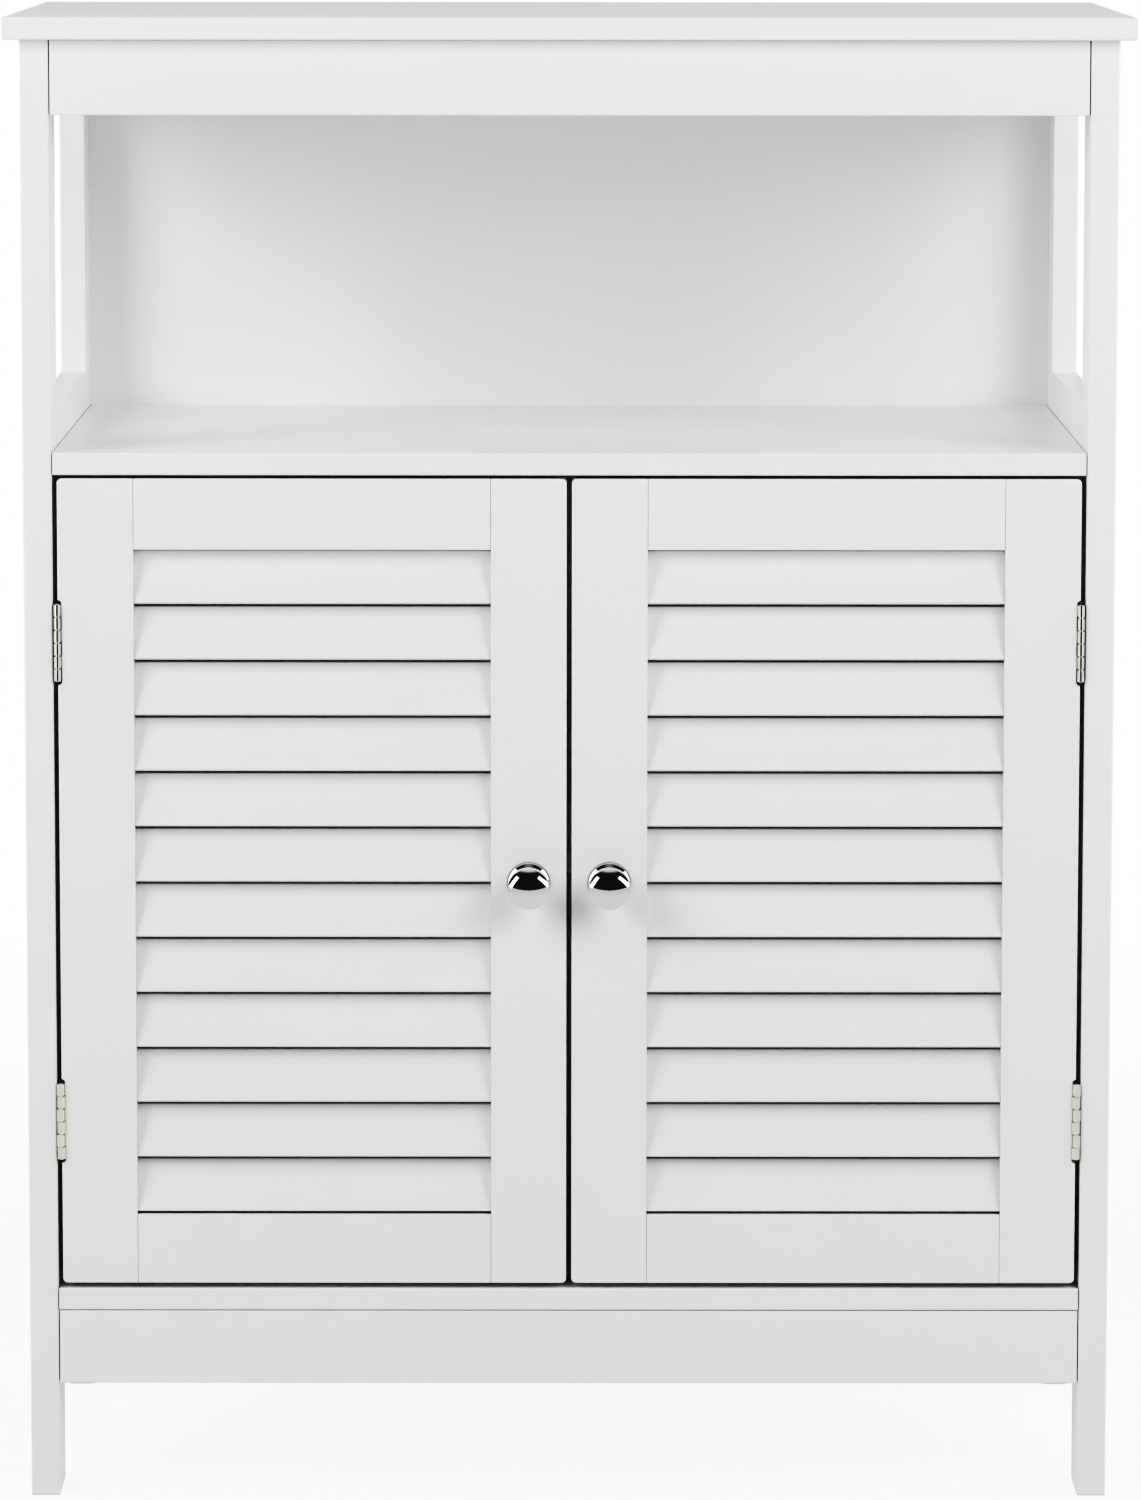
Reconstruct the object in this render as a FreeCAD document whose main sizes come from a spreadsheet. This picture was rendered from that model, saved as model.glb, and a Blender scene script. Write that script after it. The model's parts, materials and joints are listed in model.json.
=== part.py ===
import FreeCAD, Part
import os
import math
import Sketcher
from FreeCAD import Vector, Placement, Rotation

# Free-standing painted cabinet: an open bay under the top board and a
# cupboard below it, closed by two louvred doors on butt hinges.
# Frame: X to the right, Y towards the back, Z up, floor at Z = 0, front at -Y.
# The left-hand pieces are modelled and the right-hand ones are mirrored.

doc = FreeCAD.newDocument("louvred_cabinet")
sheet = doc.addObject("Spreadsheet::Sheet", "dims")

# ---------------------------------------------------------------- dimensions
slat_run, slat_rise, slat_thick = 7.5, 27.6, 4.8
slat_len = math.hypot(slat_run, slat_rise)

SIZES = [
    # carcass
    ("top_width", 600.0), ("top_depth", 300.0), ("board", 12.0),
    ("leg_height", 788.0), ("leg_thick", 15.5), ("leg_depth", 38.0),
    ("leg_outer", 291.5), ("leg_inner", 276.0), ("rear_leg_thick", 14.0),
    ("front_y", -134.5), ("rear_y", 157.5), ("top_overhang", 8.0),
    ("apron_height", 40.0), ("apron_low", 748.0), ("end_gap", 0.6),
    ("side_thick", 14.0), ("side_low", 63.6), ("side_high", 590.6),
    ("side_width", 216.0), ("rear_leg_start", 254.0),
    ("shelf_low", 556.4), ("shelf_depth", 288.0), ("shelf_end_gap", 0.4),
    ("bottom_low", 102.4), ("plinth_low", 62.2), ("plinth_height", 40.0),
    ("back_thick", 3.0), ("rebate_wide", 6.0), ("rebate_deep", 4.0),
    ("back_half", 281.6), ("back_high", 787.6),
    ("inner_half", 275.0), ("inner_low", 336.0), ("inner_setback", 35.0),
    ("inner_depth", 248.0),
    # edge easing
    ("ease_leg", 1.2), ("ease_board", 1.2), ("ease_small", 0.8),
    ("ease_hair", 0.6),
    # doors
    ("door_outer", 273.4), ("door_inner", 1.4), ("door_low", 117.4),
    ("door_height", 437.2), ("mid_rise", 0.4), ("door_thick", 15.0), ("stile_width", 40.5),
    ("rail_height", 38.0), ("louvre_width", 191.0), ("door_corner", 2.6),
    ("door_round", 1.2), ("tenon_long", 11.5), ("tenon_thick", 5.8),
    ("tenon_high", 22.0), ("tenon_front", 4.6), ("tenon_low", 8.1),
    ("mortise_deep", 12.0), ("mortise_play", 0.1),
    ("slat_pitch", 30.075), ("slat_first", 39.7), ("slat_front", 0.7),
    ("slat_run", slat_run), ("slat_rise", slat_rise),
    ("slat_thick_y", slat_thick * slat_rise / slat_len),
    ("slat_thick_z", slat_thick * slat_run / slat_len),
    ("slat_tongue", 5.8), ("slat_housing", 6.0), ("slat_round", 0.8),
    ("slat_count", 12),
    # butt hinges
    ("hinge_half", 20.9), ("hinge_offset", 130.0), ("hinge_axis_x", 273.65),
    ("hinge_axis_front", 0.3), ("barrel_radius", 1.85), ("bore_radius", 1.15),
    ("pin_radius", 1.10), ("leaf_thick", 1.0), ("leaf_start", 2.3),
    ("leaf_end", 14.0), ("notch_deep", 2.1), ("notch_half", 23.0),
    ("notch_round", 1.9), ("knuckle_gap", 0.8),
    ("hinge_screw_y", 8.4), ("hinge_screw_step", 14.0),
    # drilled joints
    ("dowel_bore", 3.0), ("dowel_deep", 12.5), ("leg_dowel_bore", 4.0),
    ("leg_dowel_deep", 20.0), ("leg_dowel_top", 9.0),
    ("cam_bore", 7.5), ("cam_deep", 9.5), ("cam_inset", 34.0),
    ("cam_bolt_bore", 3.5), ("cam_pilot", 2.5), ("cam_pilot_deep", 11.0),
    ("pin_hole", 2.5), ("pin_hole_deep", 9.0), ("pin_axis_drop", 5.0),
    ("pin_step", 64.0), ("pin_front_y", 60.0), ("pin_rear_y", 232.0),
    ("screw_pilot", 1.0), ("screw_pilot_deep", 11.0), ("hinge_pilot", 1.4),
    ("hinge_pilot_deep", 12.0), ("catch_pilot", 1.2), ("catch_pilot_deep", 9.0),
    ("strike_pilot", 1.25), ("strike_pilot_deep", 11.5), ("knob_hole", 2.3),
    # knob
    ("knob_radius", 11.25), ("knob_length", 23.0),
    # magnetic catch
    ("catch_wide", 38.0), ("catch_long", 15.0), ("catch_high", 13.0),
    ("catch_front", 16.9), ("strike_wide", 30.0), ("strike_high", 9.0),
]


class Q:
    """A size: its number and the sheet expression it comes from."""

    def __init__(self, v, e):
        self.v, self.e = float(v), e

    def __add__(self, o):
        o = qty(o)
        return Q(self.v + o.v, "(%s + %s)" % (self.e, o.e))

    def __sub__(self, o):
        o = qty(o)
        return Q(self.v - o.v, "(%s - %s)" % (self.e, o.e))

    def __rsub__(self, o):
        return qty(o) - self

    def __mul__(self, o):
        o = qty(o)
        return Q(self.v * o.v, "(%s * %s)" % (self.e, o.e))

    def __truediv__(self, o):
        o = qty(o)
        return Q(self.v / o.v, "(%s / %s)" % (self.e, o.e))

    def __neg__(self):
        return Q(-self.v, "(0 - %s)" % self.e)

    __radd__ = __add__
    __rmul__ = __mul__


def qty(o):
    return o if isinstance(o, Q) else Q(o, "%.6f" % float(o))


class Dims:
    pass


D = Dims()
for row, (key, value) in enumerate(SIZES, start=1):
    sheet.set("A%d" % row, key)
    sheet.set("B%d" % row, "%.6f" % value)
    sheet.setAlias("B%d" % row, key)
    setattr(D, key, Q(value, "dims." + key))
doc.recompute()

pieces = []          # every object that becomes a file


def bind(obj, prop, value):
    obj.setExpression(prop, qty(value).e)


def place(obj, x, y, z):
    obj.Placement = Placement(Vector(qty(x).v, qty(y).v, qty(z).v),
                              obj.Placement.Rotation)
    bind(obj, "Placement.Base.x", x)
    bind(obj, "Placement.Base.y", y)
    bind(obj, "Placement.Base.z", z)


def keep(obj, label):
    obj.Label = label
    pieces.append(obj)
    return obj


# ------------------------------------------------------- sketch-based helpers
PLANE = {"Z": "XY_Plane", "Y": "XZ_Plane", "X": "YZ_Plane"}


def new_sketch(body, axis, start, name):
    """Sketch square to an axis of the body, at a distance along that axis."""
    sk = body.newObject("Sketcher::SketchObject", name)
    for feature in body.Origin.OriginFeatures:
        if feature.Role == PLANE[axis]:
            sk.AttachmentSupport = [(feature, "")]
    sk.MapMode = "FlatFace"
    off = -qty(start) if axis == "Y" else qty(start)
    sk.AttachmentOffset = Placement(Vector(0, 0, off.v), Rotation())
    bind(sk, "AttachmentOffset.Base.z", off)
    return sk


def datum(sk, kind, a, apos, b, bpos, value, name):
    value = qty(value)
    index = sk.addConstraint(Sketcher.Constraint(kind, a, apos, b, bpos, value.v))
    sk.renameConstraint(index, name)
    sk.setExpression("Constraints." + name, value.e)


def polygon(sk, points):
    """Closed outline; every corner is dimensioned from the sketch origin."""
    n = len(points)
    vec = [Vector(qty(u).v, qty(v).v, 0) for u, v in points]
    first = sk.GeometryCount
    for i in range(n):
        sk.addGeometry(Part.LineSegment(vec[i], vec[(i + 1) % n]), False)
    for i in range(n):
        sk.addConstraint(Sketcher.Constraint("Coincident", first + i, 2,
                                             first + (i + 1) % n, 1))
    for i, (u, v) in enumerate(points):
        if abs(qty(u).v) < 1e-9:
            sk.addConstraint(Sketcher.Constraint("PointOnObject", first + i, 1, -2))
        else:
            datum(sk, "DistanceX", -1, 1, first + i, 1, u, "u%d" % (first + i))
        if abs(qty(v).v) < 1e-9:
            sk.addConstraint(Sketcher.Constraint("PointOnObject", first + i, 1, -1))
        else:
            datum(sk, "DistanceY", -1, 1, first + i, 1, v, "v%d" % (first + i))


def rectangle(sk, u, v, du, dv):
    u, v, du, dv = qty(u), qty(v), qty(du), qty(dv)
    polygon(sk, [(u, v), (u + du, v), (u + du, v + dv), (u, v + dv)])


def circles(sk, centres, radius):
    radius = qty(radius)
    for i, (u, v) in enumerate(centres):
        u, v = qty(u), qty(v)
        g = sk.addGeometry(Part.Circle(Vector(u.v, v.v, 0), Vector(0, 0, 1),
                                       radius.v), False)
        datum(sk, "DistanceX", -1, 1, g, 3, u, "cu%d" % i)
        datum(sk, "DistanceY", -1, 1, g, 3, v, "cv%d" % i)
        index = sk.addConstraint(Sketcher.Constraint("Radius", g, radius.v))
        sk.renameConstraint(index, "cr%d" % i)
        sk.setExpression("Constraints.cr%d" % i, radius.e)


def pad(body, sk, length, reverse=False):
    feature = body.newObject("PartDesign::Pad", "Pad")
    feature.Profile = sk
    feature.Length = qty(length).v
    bind(feature, "Length", length)
    feature.Reversed = reverse
    doc.recompute()
    return feature


def cut(body, sk, depth, towards):
    """Pocket along an axis; towards is +1 or -1 along that body axis."""
    before = body.Shape.Volume
    feature = body.newObject("PartDesign::Pocket", "Pocket")
    feature.Profile = sk
    feature.Length = qty(depth).v
    bind(feature, "Length", depth)
    role = sk.AttachmentSupport[0][0].Role
    along = -towards if role == "XZ_Plane" else towards
    feature.Reversed = along > 0
    doc.recompute()
    if body.Shape.Volume > before - 1e-6:
        raise RuntimeError("a pocket of %s cut nothing" % body.Label)
    return feature


def drill(body, axis, start, towards, centres, radius, depth):
    sk = new_sketch(body, axis, start, "Holes")
    circles(sk, centres, radius)
    return cut(body, sk, depth, towards)


def board(label, width, depth, height):
    """Rectangular board with one corner at the body's origin."""
    body = doc.addObject("PartDesign::Body", label)
    body.Label = label
    sk = new_sketch(body, "Z", 0, "Outline")
    rectangle(sk, 0, 0, width, depth)
    pad(body, sk, height)
    return body


def ease(body, radius, test):
    """Round the edges of the body's tip whose two ends pass the test."""
    tip = body.Tip
    names = []
    for i, edge in enumerate(tip.Shape.Edges, start=1):
        ends = [v.Point for v in edge.Vertexes]
        if len(ends) == 2 and test(ends[0], ends[1]):
            names.append("Edge%d" % i)
    if not names:
        raise RuntimeError("no edge to round on %s" % body.Label)
    feature = body.newObject("PartDesign::Fillet", "Fillet")
    feature.Base = (tip, names)
    feature.Radius = qty(radius).v
    bind(feature, "Radius", radius)
    doc.recompute()
    if not feature.isValid():
        raise RuntimeError("rounding failed on %s" % body.Label)
    return feature


def on(**where):
    """Edge test: both ends at the given coordinates, such as on(x=0, y=0)."""
    def test(a, b):
        for key, value in where.items():
            v = qty(value).v
            if abs(getattr(a, key) - v) > 1e-4 or abs(getattr(b, key) - v) > 1e-4:
                return False
        return True
    return test


def any_of(*tests):
    return lambda a, b: any(t(a, b) for t in tests)


def mirrored(source, label):
    twin = doc.addObject("Part::Mirroring", label)
    twin.Source = source
    twin.Normal = Vector(1, 0, 0)
    twin.Base = Vector(0, 0, 0)
    doc.recompute()
    return keep(twin, label)


def group(label, shapes):
    """Identical small pieces kept together as separate solids."""
    feature = doc.addObject("Part::Feature", label)
    feature.Shape = Part.makeCompound(shapes)
    feature.Placement = Placement()
    return keep(feature, label)


def put(shape, x, y, z, rotation=None):
    twin = shape.copy()
    twin.Placement = Placement(Vector(x, y, z), rotation or Rotation()).multiply(
        twin.Placement)
    return twin


def clean(shape):
    return shape.removeSplitter()


def near(expected, body, tolerance=0.02):
    got = body.Shape.Volume
    if abs(got - expected) > tolerance * expected:
        raise RuntimeError("%s: volume %.0f, expected %.0f" % (body.Label, got, expected))


# ------------------------------------------------------------------- heights
shelf_mid = D.shelf_low + D.board / 2
bottom_mid = D.bottom_low + D.board / 2
door_mid = D.door_low + D.door_height / 2 + D.mid_rise
hinge_high = door_mid + D.hinge_offset
hinge_lower = door_mid - D.hinge_offset
side_dowel_z = [Q(140, "140.0"), Q(327, "327.0"), Q(525, "525.0")]
rail_dowel_z = D.apron_low + D.apron_height / 2
back_screw_z = [150.0, 300.0, 450.0, 640.0, 745.0]
back_screw_x = [-180.0, -60.0, 60.0, 180.0]
cam_front_y, cam_rear_y = 19.0, 264.0
top_cam_y = [90.0, 202.0]
top_cam_drop = 24.0

# ----------------------------------------------------------------- top board
top = board("top_board", D.top_width, D.top_depth, D.board)
top_w, top_d = D.top_width, D.top_depth
ease(top, D.ease_small, any_of(on(x=0, y=0), on(x=top_w, y=0),
                               on(x=0, y=top_d), on(x=top_w, y=top_d)))
ease(top, D.ease_board, any_of(
    lambda a, b: abs(a.z - D.board.v) < 1e-4 and abs(b.z - D.board.v) < 1e-4,
    lambda a, b: abs(a.z) < 1e-4 and abs(b.z) < 1e-4))
half_top = D.top_width / 2
leg_mid_x = half_top - D.leg_outer + D.leg_thick / 2
rear_mid_x = half_top - D.leg_inner - D.rear_leg_thick / 2
front_mid_y = D.top_overhang + D.leg_depth / 2
rear_mid_y = D.top_overhang + D.rear_leg_start + D.leg_depth / 2
drill(top, "Z", 0, 1, [(leg_mid_x, front_mid_y), (top_w - leg_mid_x, front_mid_y),
                       (rear_mid_x, rear_mid_y), (top_w - rear_mid_x, rear_mid_y)],
      D.leg_dowel_bore, D.leg_dowel_top)
cam_x = half_top - D.leg_inner - D.side_thick / 2
drill(top, "Z", 0, 1, [(x, D.top_overhang + y) for y in top_cam_y
                       for x in (cam_x, top_w - cam_x)], D.cam_pilot, 9.2)
place(top, -half_top, D.front_y - D.top_overhang, D.leg_height)
keep(top, "top_board")

# ---------------------------------------------------------------------- legs
ld = D.leg_depth


def leg(label, front):
    lt = D.leg_thick if front else D.rear_leg_thick
    panel_mid_x = lt - D.side_thick / 2      # centre of the side panel's edge
    body = board(label, lt, ld, D.leg_height)
    if front:
        ease(body, D.ease_leg, any_of(on(x=0, y=0), on(x=lt, y=0)))
        ease(body, D.ease_small, on(x=0, y=ld))
    else:
        ease(body, D.ease_small, any_of(on(x=0, y=0), on(x=0, y=ld)))
    ease(body, D.ease_small, lambda a, b: abs(a.z) < 1e-4 and abs(b.z) < 1e-4)
    # dowel up into the top board
    drill(body, "Z", D.leg_height, -1, [(lt / 2, ld / 2)], D.leg_dowel_bore,
          D.leg_dowel_deep)
    # dowels to the side panel and the top side rail
    face, way = (ld, -1) if front else (Q(0, "0"), 1)
    drill(body, "Y", face, way,
          [(panel_mid_x, z) for z in side_dowel_z + [rail_dowel_z]],
          D.dowel_bore, D.dowel_deep)
    # bolts of the fixed shelf and the bottom board
    y = cam_front_y if front else cam_rear_y - 254.0
    drill(body, "X", lt, -1, [(y, shelf_mid), (y, bottom_mid)], D.cam_pilot,
          D.cam_pilot_deep)
    if front:
        drill(body, "X", lt, -1,
              [(D.board / 2, D.apron_low + 10), (D.board / 2, D.apron_low + 30),
               (D.board / 2, D.plinth_low + 10), (D.board / 2, D.plinth_low + 30)],
              D.dowel_bore, D.dowel_deep - 2)
        drill(body, "X", lt, -1,
              [(D.hinge_screw_y, z + k * D.hinge_screw_step)
               for z in (hinge_high, hinge_lower) for k in (-1, 0, 1)],
              D.hinge_pilot, D.hinge_pilot_deep)
    else:
        sk = new_sketch(body, "Z", D.leg_height, "Rebate")
        rectangle(sk, lt - D.rebate_wide, ld - D.rebate_deep, D.rebate_wide,
                  D.rebate_deep)
        cut(body, sk, D.leg_height - D.bottom_low, -1)
        drill(body, "Y", ld - D.rebate_deep, -1,
              [(lt - D.rebate_wide / 2, z) for z in back_screw_z],
              D.screw_pilot, D.screw_pilot_deep)
    return body


front_leg = leg("front_leg_left", True)
place(front_leg, -D.leg_outer, D.front_y, 0)
keep(front_leg, "front_leg_left")
mirrored(front_leg, "front_leg_right")
rear_leg = leg("rear_leg_left", False)
place(rear_leg, -D.leg_inner - D.rear_leg_thick, D.front_y + D.rear_leg_start, 0)
keep(rear_leg, "rear_leg_left")
mirrored(rear_leg, "rear_leg_right")

# --------------------------------------------------- side panels and top rails
st, sw = D.side_thick, D.side_width
panel = board("side_panel_left", st, sw, D.side_high - D.side_low)
panel_h = D.side_high - D.side_low
ease(panel, D.ease_small, any_of(on(x=0, z=panel_h), on(x=st, z=panel_h),
                                 on(x=0, z=0), on(x=st, z=0)))
for face, way in ((Q(0, "0"), 1), (sw, -1)):
    drill(panel, "Y", face, way, [(st / 2, z - D.side_low) for z in side_dowel_z],
          D.dowel_bore, D.dowel_deep)
pin_z = D.inner_low - D.pin_axis_drop
drill(panel, "X", st, -1,
      [(y - D.leg_depth, pin_z + k * D.pin_step - D.side_low)
       for y in (D.pin_front_y, D.pin_rear_y) for k in (-1, 0, 1)],
      D.pin_hole, D.pin_hole_deep)
place(panel, -D.leg_inner - st, D.front_y + D.leg_depth, D.side_low)
keep(panel, "side_panel_left")
mirrored(panel, "side_panel_right")

rail = board("top_side_rail_left", st, sw, D.apron_height)
ease(rail, D.ease_small, any_of(on(x=0, z=0), on(x=st, z=0)))
for face, way in ((Q(0, "0"), 1), (sw, -1)):
    drill(rail, "Y", face, way, [(st / 2, D.apron_height / 2)], D.dowel_bore,
          D.dowel_deep)
drill(rail, "X", st, -1, [(y - D.leg_depth, D.apron_height - top_cam_drop)
                          for y in top_cam_y], D.cam_bore, D.cam_deep)
drill(rail, "Z", D.apron_height, -1, [(st / 2, y - D.leg_depth) for y in top_cam_y],
      D.cam_bolt_bore, top_cam_drop)
place(rail, -D.leg_inner - st, D.front_y + D.leg_depth, D.apron_low)
keep(rail, "top_side_rail_left")
mirrored(rail, "top_side_rail_right")

# ------------------------------------------------------ apron and plinth rails
rail_len = D.leg_inner * 2 - D.end_gap * 2


def cross_rail(label, low, height):
    body = board(label, rail_len, D.board, height)
    ease(body, D.ease_small, any_of(on(y=0, z=0), on(y=0, z=height),
                                    on(x=0, y=0), on(x=rail_len, y=0)))
    for face, way in ((Q(0, "0"), 1), (rail_len, -1)):
        drill(body, "X", face, way, [(D.board / 2, 10), (D.board / 2, 30)],
              D.dowel_bore, D.dowel_deep + 2)
    place(body, -(rail_len / 2), D.front_y, low)
    return keep(body, label)


cross_rail("front_apron", D.apron_low, D.apron_height)
cross_rail("plinth_rail", D.plinth_low, D.plinth_height)

# ----------------------------------------------- fixed shelf and bottom board
shelf_len = D.leg_inner * 2 - D.shelf_end_gap * 2


def deck(label, low):
    body = board(label, shelf_len, D.shelf_depth, D.board)
    ease(body, D.ease_board, any_of(on(y=0, z=0), on(y=0, z=D.board)))
    for face, way in ((Q(0, "0"), 1), (shelf_len, -1)):
        drill(body, "X", face, way, [(cam_front_y, D.board / 2),
                                     (cam_rear_y, D.board / 2)],
              D.cam_bolt_bore, D.cam_inset)
    drill(body, "Z", 0, 1, [(x, y) for x in (D.cam_inset, shelf_len - D.cam_inset)
                            for y in (cam_front_y, cam_rear_y)],
          D.cam_bore, D.cam_deep)
    drill(body, "Y", D.shelf_depth, -1,
          [(shelf_len / 2 + x, D.board / 2) for x in back_screw_x],
          D.screw_pilot, D.screw_pilot_deep)
    return body


catch_x = D.door_inner + D.stile_width / 2
catch_screw_y = D.catch_front + D.catch_long / 2
catch_screw_dx = 15.5

fixed_shelf = deck("fixed_shelf", D.shelf_low)
drill(fixed_shelf, "Z", 0, 1,
      [(shelf_len / 2 + s * catch_x + k * catch_screw_dx, catch_screw_y)
       for s in (-1, 1) for k in (-1, 1)], D.catch_pilot, D.catch_pilot_deep)
place(fixed_shelf, -(shelf_len / 2), D.front_y, D.shelf_low)
keep(fixed_shelf, "fixed_shelf")
bottom = deck("bottom_board", D.bottom_low)
place(bottom, -(shelf_len / 2), D.front_y, D.bottom_low)
keep(bottom, "bottom_board")

# ---------------------------------------------------- back panel, inner shelf
back = board("back_panel", D.back_half * 2, D.back_thick, D.back_high - D.bottom_low)
edge_x = D.leg_inner + D.rebate_wide / 2
drill(back, "Y", 0, 1,
      [(D.back_half + s * edge_x, z - D.bottom_low) for s in (-1, 1)
       for z in back_screw_z] +
      [(D.back_half + x, z - D.bottom_low) for x in back_screw_x
       for z in (shelf_mid, bottom_mid)], 1.6, D.back_thick)
place(back, -D.back_half, D.front_y + D.shelf_depth, D.bottom_low)
keep(back, "back_panel")

inner = board("inner_shelf", D.inner_half * 2, D.inner_depth, D.board)
ease(inner, D.ease_board, any_of(on(y=0, z=0), on(y=0, z=D.board)))
place(inner, -D.inner_half, D.front_y + D.inner_setback, D.inner_low)
keep(inner, "inner_shelf")

# --------------------------------------------------------------------- doors
dt, dh, sti = D.door_thick, D.door_height, D.stile_width
mort_low = D.tenon_low - D.mortise_play
mort_high = D.tenon_high + D.mortise_play * 2
slope = (slat_run / slat_len, slat_rise / slat_len)      # up the slat (y, z)
across = (slat_rise / slat_len, -slat_run / slat_len)    # through it (y, z)


def slat_corners(play):
    """Section of a slat, seen from its end, grown by play on every side."""
    a = (D.slat_front, D.slat_first)
    corners = []
    for up, through in ((0, 0), (1, 0), (1, 1), (0, 1)):
        y = a[0] + up * D.slat_run + through * D.slat_thick_y
        z = a[1] + up * D.slat_rise - through * D.slat_thick_z
        gu, gt = (1 if up else -1), (1 if through else -1)
        y = y + play * (gu * slope[0] + gt * across[0])
        z = z + play * (gu * slope[1] + gt * across[1])
        corners.append((y, z))
    return corners


def notch_outline(centre):
    """Notch for a hinge in the stile's edge, with two softened inner corners."""
    low, high = centre - D.notch_half, centre + D.notch_half
    points = [(Q(0, "0"), low)]
    for k in range(6):
        a = math.radians(18.0 * k)
        points.append((D.notch_deep - D.notch_round * (1 - math.sin(a)),
                       low + D.notch_round * (1 - math.cos(a))))
    for k in range(6):
        a = math.radians(90.0 - 18.0 * k)
        points.append((D.notch_deep - D.notch_round * (1 - math.sin(a)),
                       high - D.notch_round * (1 - math.cos(a))))
    return points + [(Q(0, "0"), high)]


def stile(label, hinged):
    """Door upright. The hinged one has its outer edge at x = 0."""
    body = board(label, sti, dt, dh)
    out, inn = (Q(0, "0"), sti) if hinged else (sti, Q(0, "0"))
    ease(body, D.door_corner, any_of(on(x=out, z=0), on(x=out, z=dh)))
    front = []
    ease(body, D.door_round, lambda a, b: abs(a.y) < 1e-4 and abs(b.y) < 1e-4
         and not (abs(a.x - inn.v) < 1e-4 and abs(b.x - inn.v) < 1e-4))
    ease(body, D.ease_small, lambda a, b: abs(a.y - dt.v) < 1e-4
         and abs(b.y - dt.v) < 1e-4
         and not (abs(a.x - inn.v) < 1e-4 and abs(b.x - inn.v) < 1e-4))
    way = -1 if hinged else 1
    # mortises for the two rails
    sk = new_sketch(body, "X", inn, "Mortises")
    for z in (mort_low, dh - mort_low - mort_high):
        rectangle(sk, D.tenon_front - D.mortise_play, z,
                  D.tenon_thick + D.mortise_play * 2, mort_high)
    cut(body, sk, D.mortise_deep, way)
    # slanted housings for the slats
    sk = new_sketch(body, "X", inn, "Housing")
    polygon(sk, slat_corners(D.mortise_play))
    housing = cut(body, sk, D.slat_housing, way)
    pattern = body.newObject("PartDesign::LinearPattern", "Housings")
    pattern.Originals = [housing]
    for feature in body.Origin.OriginFeatures:
        if feature.Role == "Z_Axis":
            pattern.Direction = (feature, [""])
    bind(pattern, "Length", D.slat_pitch * (D.slat_count - 1))
    pattern.Occurrences = int(D.slat_count.v)
    bind(pattern, "Occurrences", D.slat_count)
    body.Tip = pattern
    doc.recompute()
    if hinged:
        for centre in (hinge_high - D.door_low, hinge_lower - D.door_low):
            sk = new_sketch(body, "Y", 0, "HingeNotch")
            polygon(sk, notch_outline(centre))
            cut(body, sk, dt, 1)
        drill(body, "X", D.notch_deep, 1,
              [(D.hinge_screw_y, c - D.door_low + k * D.hinge_screw_step)
               for c in (hinge_high, hinge_lower) for k in (-1, 0, 1)],
              D.hinge_pilot, D.hinge_pilot_deep)
    else:
        drill(body, "Y", 0, 1, [(sti / 2, door_mid - D.door_low)], D.knob_hole, dt)
        drill(body, "Y", dt, -1,
              [(sti / 2 + k * 8, D.shelf_low - D.catch_high / 2 - 1.1 - D.door_low)
               for k in (-1, 1)], D.strike_pilot, D.strike_pilot_deep)
    return body


hinge_stile = stile("left_hinge_stile", True)
place(hinge_stile, -D.door_outer, D.front_y, D.door_low)
keep(hinge_stile, "left_hinge_stile")
mirrored(hinge_stile, "right_hinge_stile")
meeting_stile = stile("left_meeting_stile", False)
place(meeting_stile, -(D.door_inner + sti), D.front_y, D.door_low)
keep(meeting_stile, "left_meeting_stile")
mirrored(meeting_stile, "right_meeting_stile")


def door_rail(label, upper):
    body = doc.addObject("PartDesign::Body", label)
    body.Label = label
    sk = new_sketch(body, "Z", 0, "Outline")
    rectangle(sk, D.tenon_long, 0, D.louvre_width, dt)
    pad(body, sk, D.rail_height)
    edge = D.rail_height if upper else Q(0, "0")
    ease(body, D.door_round, on(y=0, z=edge))
    ease(body, D.ease_small, on(y=dt, z=edge))
    ease(body, D.ease_hair, lambda a, b: abs(a.y) < 1e-4 and abs(b.y) < 1e-4
         and abs(a.x - b.x) < 1e-4)
    low = D.rail_height - D.tenon_low - D.tenon_high if upper else D.tenon_low
    sk = new_sketch(body, "Z", low, "Tenons")
    rectangle(sk, 0, D.tenon_front, D.louvre_width + D.tenon_long * 2, D.tenon_thick)
    pad(body, sk, D.tenon_high)
    low_z = D.door_low + (dh - D.rail_height if upper else 0)
    place(body, -(D.door_outer - sti + D.tenon_long), D.front_y, low_z)
    return keep(body, label)


mirrored(door_rail("left_top_rail", True), "right_top_rail")
mirrored(door_rail("left_bottom_rail", False), "right_bottom_rail")

# one slat, then the stack of them
slat = doc.addObject("PartDesign::Body", "slat")
sk = new_sketch(slat, "X", 0, "Section")
polygon(sk, slat_corners(0))
slat_long = D.louvre_width + D.slat_tongue * 2
pad(slat, sk, slat_long)
ease(slat, D.slat_round, lambda a, b: abs(a.x - b.x) > 10)
place(slat, -(D.door_outer - sti + D.slat_tongue), D.front_y, D.door_low)
doc.recompute()
stack = [put(slat.Shape, 0, 0, D.slat_pitch.v * i) for i in range(int(D.slat_count.v))]
left_louvres = group("left_louvres", stack)
mirrored(left_louvres, "right_louvres")

# --------------------------------------------------------------------- hinges
def cylinder(name, radius, height, x, y, z, rotation=None):
    obj = doc.addObject("Part::Cylinder", name)
    bind(obj, "Radius", radius)
    bind(obj, "Height", height)
    if rotation:
        obj.Placement = Placement(Vector(), rotation)
    place(obj, x, y, z)
    return obj


def block(name, dx, dy, dz, x, y, z):
    obj = doc.addObject("Part::Box", name)
    bind(obj, "Length", dx)
    bind(obj, "Width", dy)
    bind(obj, "Height", dz)
    place(obj, x, y, z)
    return obj


def fused(name, shapes):
    obj = doc.addObject("Part::MultiFuse", name)
    obj.Shapes = shapes
    return obj


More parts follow.
